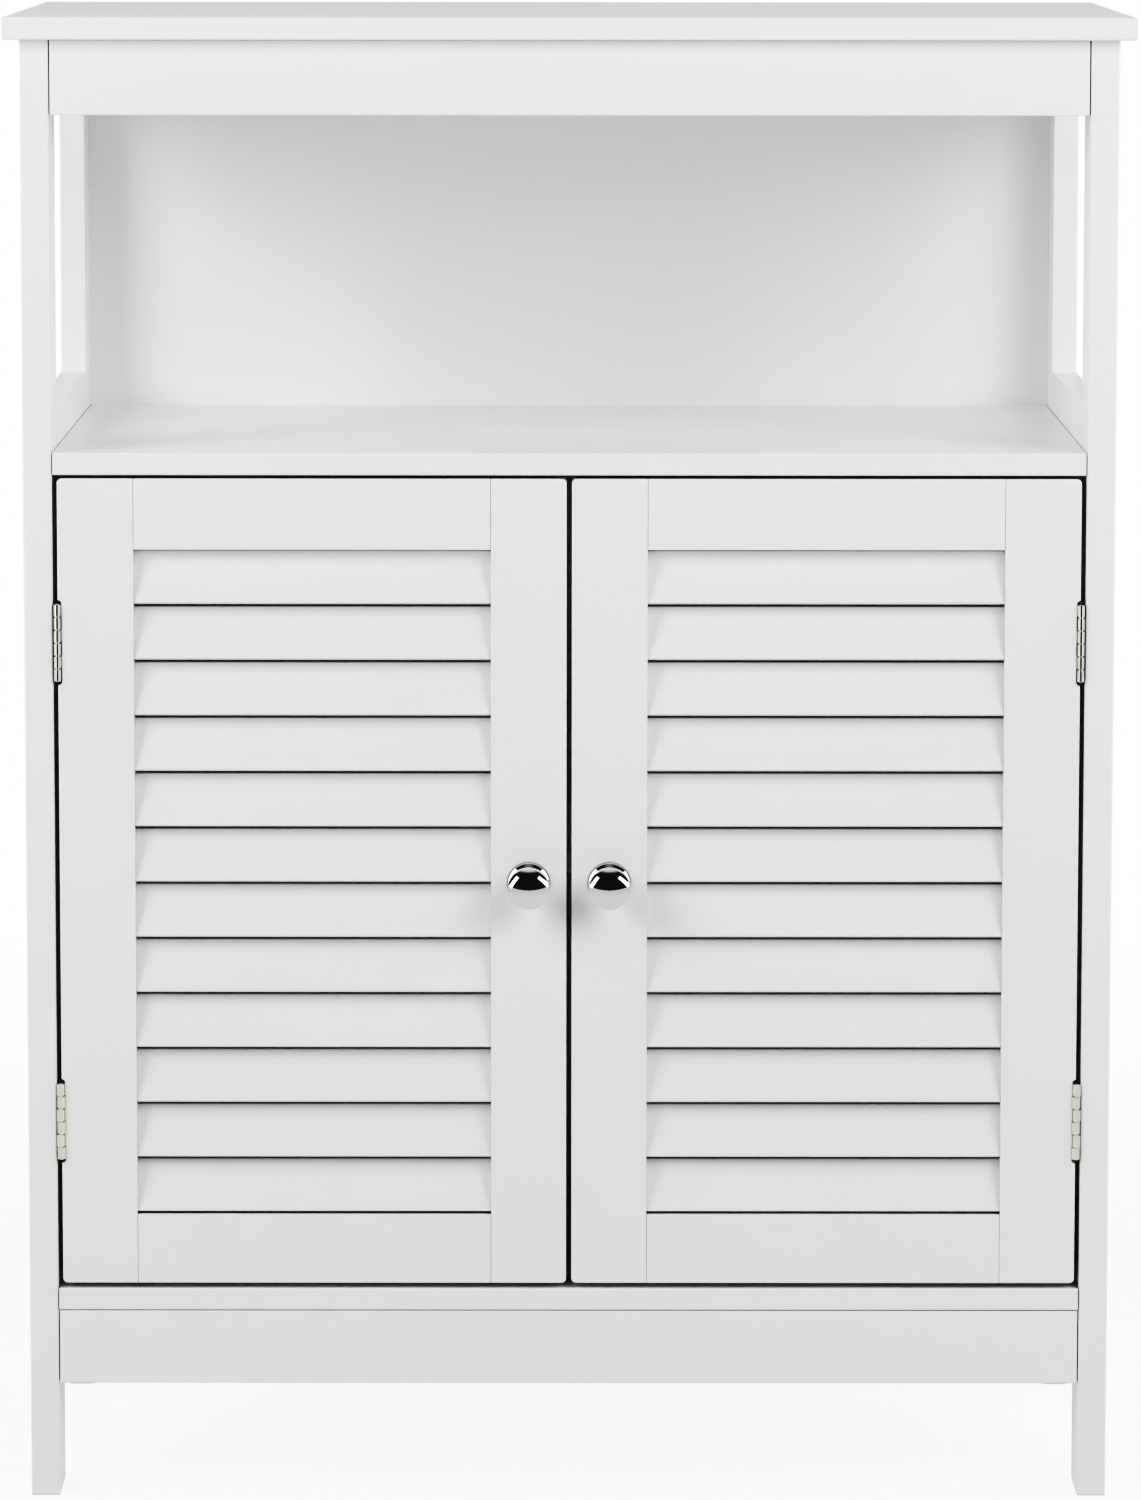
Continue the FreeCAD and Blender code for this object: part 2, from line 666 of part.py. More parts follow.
def cut_from(name, base, tool):
    obj = doc.addObject("Part::Cut", name)
    obj.Base = base
    obj.Tool = tool
    return obj


AXIS_Y = D.front_y - D.hinge_axis_front
KNUCKLES = 6


def leaf(label, centre, on_door):
    """One leaf of a left-hand hinge: a plate, three knuckles and three holes."""
    low = centre - D.hinge_half
    plate_x = -D.door_outer + D.notch_deep - D.leaf_thick if on_door else -D.leg_inner
    step = D.hinge_half * 2 / KNUCKLES
    solids = [block("Plate", D.leaf_thick, D.leaf_end - D.leaf_start, D.hinge_half * 2,
                    plate_x, D.front_y + D.leaf_start, low)]
    for k in range(1 if on_door else 0, KNUCKLES, 2):
        z = low + step * (KNUCKLES - 1 - k) + D.knuckle_gap / 2
        long_z = step - D.knuckle_gap
        solids.append(cylinder("Knuckle", D.barrel_radius, long_z,
                               -D.hinge_axis_x, AXIS_Y, z))
        solids.append(block("Web", D.leaf_thick, D.leaf_start + D.hinge_axis_front,
                            long_z, plate_x, AXIS_Y, z))
    whole = fused("Leaf", solids)
    tools = [cylinder("Bore", D.bore_radius, D.hinge_half * 2 + 2,
                      -D.hinge_axis_x, AXIS_Y, low - 1)]
    turn = Rotation(Vector(0, 1, 0), 90)
    for k in (-1, 0, 1):
        z = centre + k * D.hinge_screw_step
        y = D.front_y + D.hinge_screw_y
        tools.append(cylinder("ScrewHole", 1.6, 4, plate_x - 1.5, y, z, turn))
        sink = doc.addObject("Part::Cone", "Countersink")
        wide, thin = (2.7, 1.7) if on_door else (1.7, 2.7)
        bind(sink, "Radius1", wide)
        bind(sink, "Radius2", thin)
        bind(sink, "Height", D.leaf_thick)
        sink.Placement = Placement(Vector(), turn)
        place(sink, plate_x, y, z)
        tools.append(sink)
    obj = cut_from(label, whole, fused("LeafHoles", tools))
    doc.recompute()
    return keep(obj, label)


for where, centre in (("upper", hinge_high), ("lower", hinge_lower)):
    mirrored(leaf("left_%s_hinge_leg_leaf" % where, centre, False),
             "right_%s_hinge_leg_leaf" % where)
    mirrored(leaf("left_%s_hinge_door_leaf" % where, centre, True),
             "right_%s_hinge_door_leaf" % where)

# pins with slightly domed ends
pin_len = D.hinge_half.v * 2
pin = Part.makeCylinder(D.pin_radius.v, pin_len, Vector(0, 0, -pin_len / 2))
pin = pin.makeFillet(0.35, [e for e in pin.Edges if isinstance(e.Curve, Part.Circle)])
group("hinge_pins", [put(pin, s * D.hinge_axis_x.v, AXIS_Y.v, c.v)
                     for s in (-1, 1) for c in (hinge_high, hinge_lower)])


# ------------------------------------------------------------ screws and pegs
def cross_recess(depth, size, wide):
    """Cutter for a cross recess in a head whose face is at z = 0."""
    a = Part.makeBox(size, wide, depth, Vector(-size / 2, -wide / 2, -depth))
    b = Part.makeBox(wide, size, depth, Vector(-wide / 2, -size / 2, -depth))
    return a.fuse(b)


def flat_screw(head_r, head_h, shank_r, length):
    """Countersunk screw, head face at z = 0, pointing down."""
    head = Part.makeCone(shank_r, head_r, head_h, Vector(0, 0, -head_h))
    shank = Part.makeCylinder(shank_r, length - head_h - 1.5, Vector(0, 0, -length + 1.5))
    tip = Part.makeCone(0.2, shank_r, 1.5, Vector(0, 0, -length))
    solid = clean(head.fuse(shank).fuse(tip))
    return clean(solid.cut(cross_recess(0.7, head_r * 1.1, 0.55)))


def pan_screw(head_r, head_h, shank_r, length):
    """Round-head screw, head seat at z = 0, pointing down."""
    head = Part.makeCylinder(head_r, head_h)
    head = head.makeFillet(head_h * 0.7, [e for e in head.Edges
                           if isinstance(e.Curve, Part.Circle)
                           and abs(e.Curve.Center.z - head_h) < 1e-6])
    shank = Part.makeCylinder(shank_r, length - 1.5, Vector(0, 0, -length + 1.5))
    tip = Part.makeCone(0.2, shank_r, 1.5, Vector(0, 0, -length))
    solid = clean(head.fuse(shank).fuse(tip))
    recess = cross_recess(head_h * 0.6, head_r * 1.1, 0.6)
    recess.translate(Vector(0, 0, head_h))
    return clean(solid.cut(recess))


FROM_LEFT = Rotation(Vector(0, 1, 0), -90)     # head towards -X, pointing to +X
FROM_RIGHT = Rotation(Vector(0, 1, 0), 90)     # head towards +X, pointing to -X
FROM_BACK = Rotation(Vector(1, 0, 0), -90)     # head towards +Y, pointing to -Y
FROM_BELOW = Rotation(Vector(1, 0, 0), 180)    # head towards -Z, pointing up

screw = flat_screw(2.5, 0.9, 1.3, 11.5)
screw_y = D.front_y.v + D.hinge_screw_y.v
screw_z = [c.v + k * D.hinge_screw_step.v for c in (hinge_high, hinge_lower)
           for k in (-1, 0, 1)]
head_leg = D.leg_inner.v - D.leaf_thick.v + 0.06
head_door = D.door_outer.v - D.notch_deep.v + D.leaf_thick.v - 0.06
group("hinge_leg_screws",
      [put(screw, -head_leg, screw_y, z, FROM_RIGHT) for z in screw_z] +
      [put(screw, head_leg, screw_y, z, FROM_LEFT) for z in screw_z])
group("left_hinge_door_screws",
      [put(screw, -head_door, screw_y, z, FROM_LEFT) for z in screw_z])
group("right_hinge_door_screws",
      [put(screw, head_door, screw_y, z, FROM_RIGHT) for z in screw_z])

back_seat = D.front_y.v + D.shelf_depth.v + D.back_thick.v
screw = pan_screw(2.6, 1.0, 0.95, 13.0)
group("back_panel_screws",
      [put(screw, s * edge_x.v, back_seat, z, FROM_BACK) for s in (-1, 1)
       for z in back_screw_z] +
      [put(screw, x, back_seat, z.v, FROM_BACK) for x in back_screw_x
       for z in (shelf_mid, bottom_mid)])

# wooden dowels
def dowel(radius, length):
    peg = Part.makeCylinder(radius, length, Vector(0, 0, -length / 2))
    return peg.makeChamfer(0.7, [e for e in peg.Edges
                                 if isinstance(e.Curve, Part.Circle)])


peg = dowel(D.leg_dowel_bore.v - 0.05, 28.0)
peg_z = D.leg_height.v - D.leg_dowel_deep.v + 0.4 + 14.0
leg_at = [(D.leg_outer.v - D.leg_thick.v / 2, D.front_y.v + D.leg_depth.v / 2),
          (D.leg_inner.v + D.rear_leg_thick.v / 2,
           D.front_y.v + D.rear_leg_start.v + D.leg_depth.v / 2)]
group("leg_dowels", [put(peg, s * x, y, peg_z) for s in (-1, 1) for x, y in leg_at])

ALONG_X, ALONG_Y = Rotation(Vector(0, 1, 0), 90), Rotation(Vector(1, 0, 0), 90)
peg = dowel(D.dowel_bore.v - 0.05, 24.0)
rail_z = [D.apron_low.v + 10, D.apron_low.v + 30,
          D.plinth_low.v + 10, D.plinth_low.v + 30]
group("rail_dowels", [put(peg, s * (D.leg_inner.v - 1.9), D.front_y.v + D.board.v / 2,
                          z, ALONG_X) for s in (-1, 1) for z in rail_z])
panel_x = D.leg_inner.v + D.side_thick.v / 2
joint_y = [D.front_y.v + D.leg_depth.v, D.front_y.v + D.rear_leg_start.v]
group("side_dowels", [put(peg, s * panel_x, y, z.v, ALONG_Y) for s in (-1, 1)
                      for y in joint_y for z in side_dowel_z + [rail_dowel_z]])

# cam fasteners: bolts in the legs and the top, cams in the boards and rails
bolt = Part.makeCylinder(D.cam_pilot.v - 0.05, 9.0, Vector(0, 0, -9.0))
bolt = bolt.fuse(Part.makeCylinder(3.0, 23.0))
bolt = bolt.fuse(Part.makeCylinder(1.8, 6.0, Vector(0, 0, 23.0)))
bolt = bolt.fuse(Part.makeCylinder(3.0, 3.0, Vector(0, 0, 29.0)))
bolt = clean(bolt)
short = Part.makeCylinder(D.cam_pilot.v - 0.05, 9.0, Vector(0, 0, -9.0))
short = short.fuse(Part.makeCylinder(3.0, 14.0))
short = short.fuse(Part.makeCylinder(1.8, 5.0, Vector(0, 0, 14.0)))
short = clean(short.fuse(Part.makeCylinder(3.0, 3.0, Vector(0, 0, 19.0))))

cam = Part.makeCylinder(D.cam_bore.v - 0.1, 9.2)
cam = cam.makeChamfer(0.4, [e for e in cam.Edges if isinstance(e.Curve, Part.Circle)
                            and abs(e.Curve.Center.z) < 1e-6])
cam = cam.cut(Part.makeBox(8.0, 7.2, 8.0, Vector(-0.5, -3.6, 2.4)))
slot = cross_recess(1.4, 6.4, 1.2)
slot.translate(Vector(0, 0, 1.4))
cam = clean(cam.cut(slot))

bolts, cams = [], []
end_x = D.leg_inner.v - D.shelf_end_gap.v - D.cam_inset.v
for level, low in ((shelf_mid.v, D.shelf_low.v), (bottom_mid.v, D.bottom_low.v)):
    for s in (-1, 1):
        for y in (cam_front_y, cam_rear_y):
            bolts.append(put(bolt, s * D.leg_inner.v, D.front_y.v + y, level,
                             Rotation(Vector(0, 1, 0), -90 * s)))
            cams.append(put(cam, s * end_x, D.front_y.v + y, low + 0.15,
                            Rotation(Vector(0, 0, 1), 0 if s > 0 else 180)))
for s in (-1, 1):
    for y in top_cam_y:
        bolts.append(put(short, s * panel_x, D.front_y.v + y, D.leg_height.v,
                         Rotation(Vector(1, 0, 0), 180)))
        # cam axis runs from the inner face into the rail, its slot faces up
        turn = (Rotation(Vector(0, 1, 0), -90) if s < 0
                else Rotation(Vector(0, 1, 0), 90).multiply(Rotation(Vector(0, 0, 1), 180)))
        cams.append(put(cam, s * (D.leg_inner.v + 0.15), D.front_y.v + y,
                        D.leg_height.v - top_cam_drop, turn))
group("cam_bolts", bolts)
group("cam_locks", cams)

# shelf pins: a peg, an upright flange and a flat ledge under the shelf
peg = Part.makeCylinder(D.pin_hole.v - 0.05, 8.6, Vector(0, 0, -D.pin_axis_drop.v),
                        Vector(-1, 0, 0))
flange = Part.makeBox(1.6, 12.0, 10.0, Vector(0, -6, -10.0))
ledge = Part.makeBox(10.0, 12.0, 1.6, Vector(0, -6, -1.6))
rest_pin = clean(peg.fuse(flange).fuse(ledge))
rest_pin = rest_pin.makeFillet(0.5, [e for e in rest_pin.Edges
                               if len(e.Vertexes) == 2
                               and abs(e.Vertexes[0].Y - e.Vertexes[1].Y) < 1e-6
                               and abs(abs(e.Vertexes[0].Y) - 6) < 1e-6
                               and e.Vertexes[0].Z < -1.7 and e.Vertexes[1].Z < -1.7
                               and abs(e.Vertexes[0].X - e.Vertexes[1].X) > 1])
pins = []
for s in (-1, 1):
    for y in (D.pin_front_y.v, D.pin_rear_y.v):
        pins.append(put(rest_pin, s * D.leg_inner.v, D.front_y.v + y, D.inner_low.v,
                        Rotation(Vector(0, 0, 1), 0 if s < 0 else 180)))
group("shelf_pins", pins)

# ---------------------------------------------------------- magnetic catches
cx, cw, cl, ch = catch_x.v, D.catch_wide.v, D.catch_long.v, D.catch_high.v
cf = D.front_y.v + D.catch_front.v
case = Part.makeBox(cw, cl, ch, Vector(-cw / 2, 0, -ch))
case = case.makeFillet(1.2, [e for e in case.Edges
                             if abs(e.Vertexes[0].Z - e.Vertexes[1].Z) > 1])
case = case.cut(Part.makeBox(24.0, 11.0, 8.0, Vector(-12, -0.01, -10.4)))
for k in (-1, 1):
    case = case.cut(Part.makeCylinder(1.7, ch + 2, Vector(k * 15.5, cl / 2, -ch - 1)))
    case = case.cut(Part.makeCylinder(3.0, 2.2, Vector(k * 15.5, cl / 2, -ch)))
case = clean(case)
group("catch_housings", [put(case, s * cx, cf, D.shelf_low.v) for s in (-1, 1)])
core = Part.makeBox(12.6, 10.5, 7.6, Vector(-6.3, 0.2, -10.2))
plates = [Part.makeBox(1.8, 11.2, 7.6, Vector(x, -0.4, -10.2)) for x in (-8.1, 6.3)]
magnet = clean(core.fuse(plates[0]).fuse(plates[1]))
group("catch_magnets", [put(magnet, s * cx, cf, D.shelf_low.v) for s in (-1, 1)])
screw = pan_screw(2.8, 1.6, 1.15, 19.0)
group("catch_screws", [put(screw, s * cx + k * 15.5, cf + cl / 2,
                           D.shelf_low.v - ch + 2.2, FROM_BELOW)
                       for s in (-1, 1) for k in (-1, 1)])

# strike plates on the doors' backs
strike_z = D.shelf_low - D.catch_high / 2 - 1.1
strike = board("left_strike_plate", D.strike_wide, 1.0, D.strike_high)
ease(strike, 1.5, any_of(on(x=0, z=0), on(x=0, z=D.strike_high),
                         on(x=D.strike_wide, z=0), on(x=D.strike_wide, z=D.strike_high)))
drill(strike, "Y", 0, 1, [(D.strike_wide / 2 + k * 8, D.strike_high / 2)
                          for k in (-1, 1)], 1.6, 1.0)
place(strike, -catch_x - D.strike_wide / 2, D.front_y + dt,
      strike_z - D.strike_high / 2)
keep(strike, "left_strike_plate")
mirrored(strike, "right_strike_plate")
screw = pan_screw(2.4, 0.35, 1.2, 11.5)
seat = D.front_y.v + dt.v + 1.0
for side, s in (("left", -1), ("right", 1)):
    group("%s_strike_screws" % side,
          [put(screw, s * cx + k * 8.0, seat, strike_z.v, FROM_BACK) for k in (-1, 1)])

# --------------------------------------------------------------------- knobs
# Turned profile: coned rosette on the door, waisted neck, flat drum head and a low domed face.
knob = doc.addObject("PartDesign::Body", "left_knob")
sk = knob.newObject("Sketcher::SketchObject", "Profile")
for feature in knob.Origin.OriginFeatures:
    if feature.Role == "XZ_Plane":
        sk.AttachmentSupport = [(feature, "")]
sk.MapMode = "FlatFace"
kr, kl = D.knob_radius, D.knob_length
outline = [(2.05, 0), (kr, 0), (kr, 1.6), (5.8, 4.1), (5.8, 12.4), (kr, 15.6), (kr, kl - 3.0)]
vec = [Vector(qty(u).v, qty(v).v, 0) for u, v in outline]
dome_top = Vector(0.4, kl.v, 0)
axis_top = Vector(0, kl.v, 0)
rim = vec[-1]
# dome through the rim, ending in a small flat on the axis
rise = dome_top.y - rim.y
ball_y = (dome_top.y + rim.y - (rim.x ** 2 - dome_top.x ** 2) / rise) / 2
ball = math.hypot(dome_top.x, dome_top.y - ball_y)
mid_angle = (math.atan2(rim.y - ball_y, rim.x)
             + math.atan2(dome_top.y - ball_y, dome_top.x)) / 2
mid_pt = Vector(ball * math.cos(mid_angle), ball_y + ball * math.sin(mid_angle), 0)
bore_end = Vector(2.05, 13.0, 0)
axis_end = Vector(0, 13.0, 0)
lines = list(zip(vec[:-1], vec[1:]))
for a, b in lines:
    sk.addGeometry(Part.LineSegment(a, b), False)
n = len(lines)
sk.addGeometry(Part.Arc(rim, mid_pt, dome_top), False)
sk.addGeometry(Part.LineSegment(dome_top, axis_top), False)
sk.addGeometry(Part.LineSegment(axis_top, axis_end), False)
sk.addGeometry(Part.LineSegment(axis_end, bore_end), False)
sk.addGeometry(Part.LineSegment(bore_end, vec[0]), False)
for i in range(n - 1):
    sk.addConstraint(Sketcher.Constraint("Coincident", i, 2, i + 1, 1))
for i, (u, v) in enumerate(outline):
    geo, pos = (i, 1) if i < n else (n - 1, 2)
    datum(sk, "DistanceX", -1, 1, geo, pos, u, "ku%d" % i)
    if abs(qty(v).v) < 1e-9:
        sk.addConstraint(Sketcher.Constraint("PointOnObject", geo, pos, -1))
    else:
        datum(sk, "DistanceY", -1, 1, geo, pos, v, "kv%d" % i)
arc_geo = n
arc = sk.Geometry[arc_geo]
start_is_rim = (arc.StartPoint - rim).Length < 1e-4
rim_pos, top_pos = (1, 2) if start_is_rim else (2, 1)
sk.addConstraint(Sketcher.Constraint("Coincident", n - 1, 2, arc_geo, rim_pos))
sk.addConstraint(Sketcher.Constraint("Coincident", arc_geo, top_pos, n + 1, 1))
for i in range(n + 1, n + 4):
    sk.addConstraint(Sketcher.Constraint("Coincident", i, 2, i + 1, 1))
sk.addConstraint(Sketcher.Constraint("Coincident", n + 4, 2, 0, 1))
sk.addConstraint(Sketcher.Constraint("PointOnObject", n + 2, 1, -2))
sk.addConstraint(Sketcher.Constraint("PointOnObject", arc_geo, 3, -2))
datum(sk, "DistanceX", -1, 1, arc_geo, top_pos, 0.4, "dome_flat")
datum(sk, "DistanceY", -1, 1, arc_geo, top_pos, kl, "dome_top")
sk.addConstraint(Sketcher.Constraint("Horizontal", n + 1))
sk.addConstraint(Sketcher.Constraint("PointOnObject", n + 3, 1, -2))
datum(sk, "DistanceY", -1, 1, n + 3, 1, 13, "bore_end")
sk.addConstraint(Sketcher.Constraint("Horizontal", n + 3))
sk.addConstraint(Sketcher.Constraint("Vertical", n + 4))
turned = knob.newObject("PartDesign::Revolution", "Turned")
turned.Profile = sk
turned.ReferenceAxis = (sk, ["V_Axis"])
turned.Angle = 360
doc.recompute()
last = turned
for name, size, where in (("Rosette_edge", 0.5, outline[2]), ("Rosette_throat", 2.2, outline[3]),
                          ("Head_throat", 2.2, outline[4]), ("Head_back", 0.7, outline[5]),
                          ("Head_rim", 0.7, outline[6])):
    u, v = (qty(c).v for c in where)
    soft = knob.newObject("PartDesign::Fillet", name)
    soft.Base = (last, ["Edge%d" % i for i, e in enumerate(last.Shape.Edges, start=1)
                        if not e.Degenerated and isinstance(e.Curve, Part.Circle)
                        and abs(e.Curve.Center.z - v) < 0.01 and abs(e.Curve.Radius - u) < 0.01])
    soft.Radius = size
    doc.recompute()
    last = soft
knob.Placement = Placement(Vector(), Rotation(Vector(1, 0, 0), 90))
place(knob, -catch_x, D.front_y, door_mid)
keep(knob, "left_knob")
mirrored(knob, "right_knob")

screw = Part.makeCylinder(3.9, 1.9)
screw = screw.makeFillet(1.2, [e for e in screw.Edges if isinstance(e.Curve, Part.Circle)
                               and abs(e.Curve.Center.z - 1.9) < 1e-6])
screw = screw.fuse(Part.makeCylinder(2.0, 26.0, Vector(0, 0, -26.0)))
recess = cross_recess(1.2, 4.4, 0.9)
recess.translate(Vector(0, 0, 1.9))
screw = clean(clean(screw).cut(recess))
for side, s in (("left", -1), ("right", 1)):
    group("%s_knob_screw" % side,
          [put(screw, s * cx, D.front_y.v + dt.v, door_mid.v, FROM_BACK)])

# --------------------------------------------------------- check, then write
doc.recompute()
for obj in doc.Objects:
    if "Invalid" in obj.State or "Error" in obj.State:
        raise RuntimeError("%s (%s) is in state %s" % (obj.Name, obj.Label, obj.State))
for obj in pieces:
    if obj.Shape.isNull() or not obj.Shape.isValid():
        raise RuntimeError("%s has no valid shape" % obj.Label)
    if not obj.Shape.Solids:
        raise RuntimeError("%s has no solid" % obj.Label)
labels = [obj.Label for obj in pieces]
if len(set(labels)) != len(labels) or len(labels) > 60:
    raise RuntimeError("piece names clash, or there are too many")

os.makedirs("parts", exist_ok=True)
for obj in pieces:
    obj.Shape.exportStep(os.path.join("parts", obj.Label + ".step"))
print(len(labels), "pieces,", sum(len(o.Shape.Solids) for o in pieces), "solids")
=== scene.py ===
"""The looks of the louvred door cabinet: finishes, floor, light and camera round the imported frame. Metres."""

import json
import math

import bpy
from mathutils import Matrix, Quaternion, Vector

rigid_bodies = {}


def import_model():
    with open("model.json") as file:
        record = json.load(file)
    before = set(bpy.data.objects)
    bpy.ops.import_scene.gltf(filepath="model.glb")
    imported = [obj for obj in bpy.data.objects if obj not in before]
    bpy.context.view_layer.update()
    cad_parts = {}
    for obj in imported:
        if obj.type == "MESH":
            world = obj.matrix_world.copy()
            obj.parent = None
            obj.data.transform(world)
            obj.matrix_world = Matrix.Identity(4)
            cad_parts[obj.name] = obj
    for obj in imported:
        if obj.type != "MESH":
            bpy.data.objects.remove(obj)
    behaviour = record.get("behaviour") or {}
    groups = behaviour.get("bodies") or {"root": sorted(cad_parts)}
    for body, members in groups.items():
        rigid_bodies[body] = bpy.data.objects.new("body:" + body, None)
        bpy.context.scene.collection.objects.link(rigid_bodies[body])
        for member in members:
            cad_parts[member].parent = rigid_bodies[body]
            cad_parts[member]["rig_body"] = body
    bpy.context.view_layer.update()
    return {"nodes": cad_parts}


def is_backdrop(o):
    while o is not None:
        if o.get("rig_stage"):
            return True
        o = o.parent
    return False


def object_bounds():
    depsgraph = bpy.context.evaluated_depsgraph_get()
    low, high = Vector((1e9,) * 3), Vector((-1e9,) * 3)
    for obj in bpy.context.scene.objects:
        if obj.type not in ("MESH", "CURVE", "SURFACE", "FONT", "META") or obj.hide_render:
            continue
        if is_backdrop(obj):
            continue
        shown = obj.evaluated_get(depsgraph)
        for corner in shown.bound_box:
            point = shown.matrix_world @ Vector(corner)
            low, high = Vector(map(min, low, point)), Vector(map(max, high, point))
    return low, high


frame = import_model()
nodes = frame["nodes"]
scene = bpy.context.scene


# ---------------------------------------------------------------- node helpers
class Finish:
    """One procedural material: a Principled shader fed by noise in the piece's own coordinates (metres)."""

    def __init__(self, name):
        self.mat = bpy.data.materials.new(name)
        self.mat.use_nodes = True
        self.tree = self.mat.node_tree
        self.tree.nodes.clear()
        self.out = self.add("ShaderNodeOutputMaterial")
        self.bsdf = self.add("ShaderNodeBsdfPrincipled")
        self.tree.links.new(self.bsdf.outputs["BSDF"], self.out.inputs["Surface"])
        self.where = self.add("ShaderNodeTexCoord").outputs["Object"]
        self.bumped = None

    def add(self, kind, **props):
        n = self.tree.nodes.new(kind)
        for k, v in props.items():
            setattr(n, k, v)
        return n

    def set(self, **values):
        """Uniform values, on the shader's own sockets."""
        for k, v in values.items():
            self.bsdf.inputs[k.replace("_", " ")].default_value = v

    def stretched(self, x, y, z):
        n = self.add("ShaderNodeMapping")
        n.inputs["Scale"].default_value = (x, y, z)
        self.tree.links.new(self.where, n.inputs["Vector"])
        return n.outputs["Vector"]

    def noise(self, scale, detail=2.0, rough=0.5, warp=0.0, where=None):
        n = self.add("ShaderNodeTexNoise")
        n.inputs["Scale"].default_value = scale
        n.inputs["Detail"].default_value = detail
        n.inputs["Roughness"].default_value = rough
        n.inputs["Distortion"].default_value = warp
        self.tree.links.new(where or self.where, n.inputs["Vector"])
        return n.outputs["Fac"]

    def ramp(self, fac, lo, hi, a, b):
        """fac between lo and hi becomes a to b, held outside."""
        n = self.add("ShaderNodeMapRange", interpolation_type="SMOOTHSTEP")
        n.inputs["From Min"].default_value = lo
        n.inputs["From Max"].default_value = hi
        n.inputs["To Min"].default_value = a
        n.inputs["To Max"].default_value = b
        self.tree.links.new(fac, n.inputs["Value"])
        return n.outputs["Result"]

    def math(self, how, a, b):
        n = self.add("ShaderNodeMath", operation=how)
        for socket, v in zip(n.inputs, (a, b)):
            if isinstance(v, (int, float)):
                socket.default_value = v
            else:
                self.tree.links.new(v, socket)
        return n.outputs["Value"]

    def mix(self, fac, a, b):
        n = self.add("ShaderNodeMix", data_type="RGBA")
        self.tree.links.new(fac, n.inputs["Factor"])
        for socket, v in zip((n.inputs["A"], n.inputs["B"]), (a, b)):
            if isinstance(v, tuple):
                socket.default_value = (*v, 1.0)
            else:
                self.tree.links.new(v, socket)
        return n.outputs["Result"]

    def slot_shade_mask(self, reach, low, high):
        """Mask for painted shade: from 0 in a slot to 1 in the open, for slots narrower than about reach metres."""
        n = self.add("ShaderNodeAmbientOcclusion", samples=6)
        n.inputs["Distance"].default_value = reach
        return self.ramp(n.outputs["AO"], low, high, 0.0, 1.0)

    def painted_slot_shade(self, colour, reach, groove_shade_reach=0.0):
        """Paints shade into the colour: darkens it in slots narrower than about reach metres, where little light gets
        in.
        A second, shorter reach paints the same shade, less strongly, into the shallow grooves of tight joints."""
        if groove_shade_reach:
            # painted shade: near-black mixed into the colour where tight joint grooves close round the point
            colour = self.mix(self.slot_shade_mask(groove_shade_reach, 0.45, 0.95), (0.10, 0.098, 0.094), colour)
        # painted shade: near-black mixed into the colour where narrow slots close round the point
        return self.mix(self.slot_shade_mask(reach, 0.10, 0.36), (0.08, 0.075, 0.07), colour)

    def colour(self, socket):
        self.tree.links.new(socket, self.bsdf.inputs["Base Color"])

    def roughness(self, socket):
        self.tree.links.new(socket, self.bsdf.inputs["Roughness"])

    def bump(self, height, depth, strength=1.0):
        """height, from 0 to 1, raises the surface by up to depth metres."""
        n = self.add("ShaderNodeBump")
        n.inputs["Strength"].default_value = strength
        n.inputs["Distance"].default_value = depth
        self.tree.links.new(height, n.inputs["Height"])
        if self.bumped:
            self.tree.links.new(self.bumped, n.inputs["Normal"])
        self.bumped = n.outputs["Normal"]
        self.tree.links.new(self.bumped, self.bsdf.inputs["Normal"])


def shade(c, by):
    return tuple(x * by for x in c)


# ---------------------------------------------------------------- finishes
def paint(name, tint, reach=0.005, groove_shade_reach=0.0, rough=0.33):
    """Satin white lacquer sprayed on board: broad unevenness, fine orange peel, and painted shade in narrow slots and
    joint grooves.
    """
    k = Finish(name)
    broad = k.noise(7.0, 3.0, 0.55)
    fine = k.noise(240.0, 2.0, 0.5)
    coat = k.mix(
        k.ramp(k.math("ADD", broad, k.math("MULTIPLY", fine, 0.35)), 0.45, 0.9, 0.0, 1.0),
        shade(tint, 0.985),
        tint,
    )
    # painted shade: the coat darkens in narrow slots and, where a groove reach is given, in joint grooves
    k.colour(k.painted_slot_shade(coat, reach, groove_shade_reach))
    k.roughness(k.ramp(k.noise(55.0, 3.0, 0.6), 0.3, 0.7, rough - 0.05, rough + 0.06))
    k.bump(k.noise(30.0, 1.0, 0.4), 0.00005)
    k.bump(k.noise(480.0, 2.0, 0.55), 0.000012)
    k.set(IOR=1.5)
    return k.mat


def hardboard(name):
    """Thin board with a smooth white coat on its front and a thin, fibrous one on its back."""
    k = Finish(name)
    normal = k.add("ShaderNodeTexCoord").outputs["Normal"]
    split = k.add("ShaderNodeSeparateXYZ")
    k.tree.links.new(normal, split.inputs["Vector"])
    rear = k.ramp(split.outputs["Y"], 0.3, 0.7, 0.0, 1.0)
    fibre = k.noise(160.0, 5.0, 0.7, 1.2)
    coat = k.mix(k.noise(6.0, 3.0, 0.5), (0.896, 0.906, 0.910), (0.905, 0.915, 0.918))
    thin = k.mix(k.ramp(fibre, 0.42, 0.72, 0.0, 1.0), (0.78, 0.77, 0.74), (0.69, 0.66, 0.60))
    k.colour(k.mix(rear, coat, thin))
    k.roughness(
        k.math(
            "ADD",
            k.ramp(k.noise(70.0, 3.0, 0.6), 0.3, 0.7, 0.34, 0.44),
            k.math("MULTIPLY", rear, 0.32),
        )
    )
    k.bump(k.math("MULTIPLY", fibre, rear), 0.00009)
    k.bump(k.noise(420.0, 2.0, 0.5), 0.000010)
    k.set(IOR=1.5)
    return k.mat


